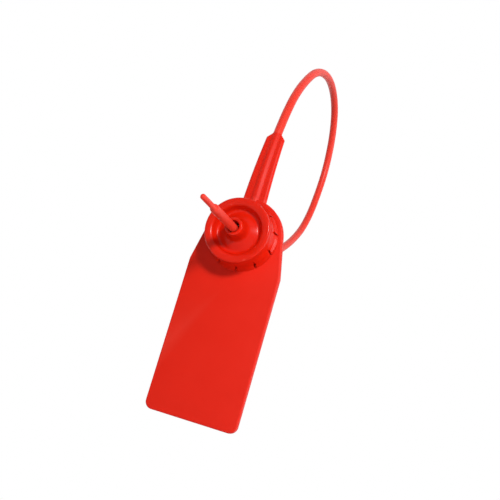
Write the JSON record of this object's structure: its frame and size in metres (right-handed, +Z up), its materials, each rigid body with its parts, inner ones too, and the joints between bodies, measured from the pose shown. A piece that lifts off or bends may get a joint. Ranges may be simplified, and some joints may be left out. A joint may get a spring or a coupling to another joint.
{
  "type": "pull-tight security seal",
  "caption": "Plastic pull-tight seal with a flag tag, a round lock with a nozzle, and a strand looped back through the lock.",
  "frame": {"origin": "centre of the flag tag's flat front face", "axes": "+Z up along the tag towards the lock, fin and loop, -Y out of the tag's front face, +X to the right seen from the front"},
  "size_m": [0.025, 0.1006, 0.1136],
  "materials": {
    "body_red": "satin moulded polypropylene",
    "cap_red": "semi-gloss moulded plastic",
    "insert_natural": "natural acetal"
  },
  "bodies": {
    "root": {"flag_body": "body_red", "lock_cap": "cap_red", "locking_ring": "insert_natural", "strand_loop": "body_red"},
    "strand": {"strand_end": "body_red"},
    "prong_1": {"prong_1": "insert_natural"},
    "prong_2": {"prong_2": "insert_natural"},
    "prong_3": {"prong_3": "insert_natural"},
    "prong_4": {"prong_4": "insert_natural"}
  },
  "joints": [
    {"name": "strand_pull", "type": "slide", "parent": "root", "child": "strand", "axis": [0, -1, 0], "range_m": [0, 0.011], "deforming": ["strand_loop"]},
    {"name": "prong_1_flex", "type": "hinge", "parent": "root", "child": "prong_1", "pos_m": [0.00161, -0.0015, 0.03011], "axis": [-0.7071, 0, 0.7071], "range_deg": [0, 4], "stiffness_Nm_per_rad": 0.00002},
    {"name": "prong_2_flex", "type": "hinge", "parent": "root", "child": "prong_2", "pos_m": [-0.00161, -0.0015, 0.03011], "axis": [-0.7071, 0, -0.7071], "range_deg": [0, 4], "stiffness_Nm_per_rad": 0.00002},
    {"name": "prong_3_flex", "type": "hinge", "parent": "root", "child": "prong_3", "pos_m": [-0.00161, -0.0015, 0.02689], "axis": [0.7071, 0, -0.7071], "range_deg": [0, 4], "stiffness_Nm_per_rad": 0.00002},
    {"name": "prong_4_flex", "type": "hinge", "parent": "root", "child": "prong_4", "pos_m": [0.00161, -0.0015, 0.02689], "axis": [0.7071, 0, 0.7071], "range_deg": [0, 4], "stiffness_Nm_per_rad": 0.00002}
  ],
  "couplings": [
    {"joint": "prong_2_flex", "follows": "prong_1_flex", "ratio": 1},
    {"joint": "prong_3_flex", "follows": "prong_1_flex", "ratio": 1},
    {"joint": "prong_4_flex", "follows": "prong_1_flex", "ratio": 1}
  ]
}
